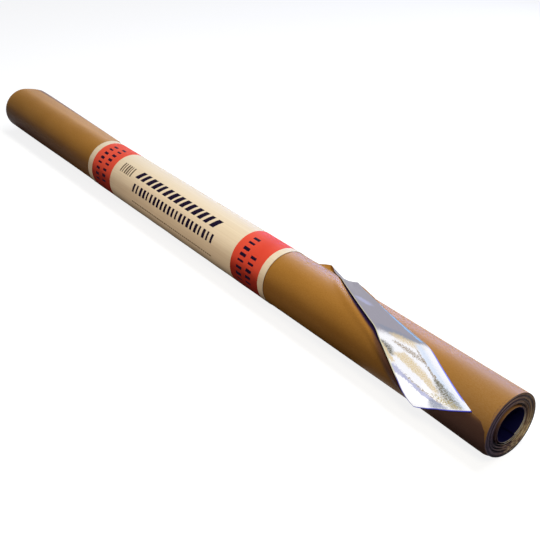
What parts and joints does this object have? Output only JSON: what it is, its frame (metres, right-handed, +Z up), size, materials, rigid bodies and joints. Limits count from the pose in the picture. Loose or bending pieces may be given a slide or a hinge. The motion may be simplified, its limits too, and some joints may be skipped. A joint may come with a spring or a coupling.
{
  "type": "roll of foil-faced paper",
  "caption": "Long roll of foil-faced kraft paper lying on its side, coreless, with a paper wrapper band and one corner turned back to show the foil.",
  "frame": {"origin": "on the floor, under the middle of the sheet's width", "axes": "+X along the roll towards the end with the turned-back corner, -Y the front, +Z up"},
  "size_m": [1.253, 0.0843, 0.0837],
  "materials": {
    "kraft_foil_paper": "satin brown kraft outside, bright aluminium foil inside",
    "wrapper_paper": "matte cream paper with two red bands"
  },
  "bodies": {
    "root": {"foil_paper_roll": "kraft_foil_paper", "paper_band": "wrapper_paper"}
  },
  "joints": []
}
